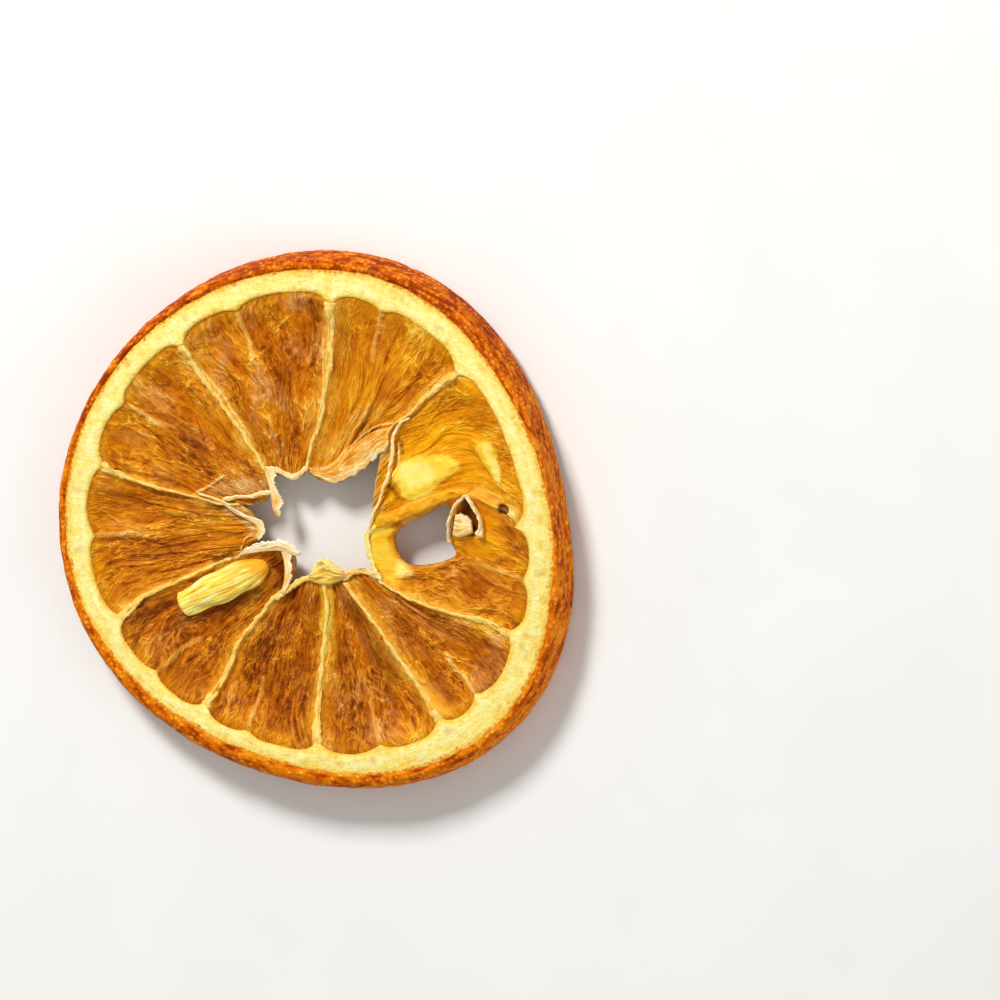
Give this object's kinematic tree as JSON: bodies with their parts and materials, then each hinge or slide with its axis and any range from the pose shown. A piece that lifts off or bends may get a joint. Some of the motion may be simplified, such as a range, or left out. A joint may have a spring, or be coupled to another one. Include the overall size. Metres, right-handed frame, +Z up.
{
  "type": "dried mandarin slice",
  "caption": "Round cross-cut slice of dried mandarin: orange peel and pale pith ring round a thin sheet of shrunken pulp segments, with a torn core hole and dried-in pips",
  "frame": {"origin": "under the middle of the slice's bounding box, on the surface that the slice lies on", "axes": "+Z up, square to the two cut faces, so the better face looks up; +X towards the hole that a pip left and +Y towards the widest pulp segment beside the torn core hole"},
  "size_m": [0.0532, 0.0538, 0.0052],
  "materials": {
    "pulp": "satin",
    "peel": "satin",
    "pith": "matte",
    "pips": "satin"
  },
  "bodies": {
    "root": {"mandarin_slice": "pulp"}
  },
  "joints": []
}
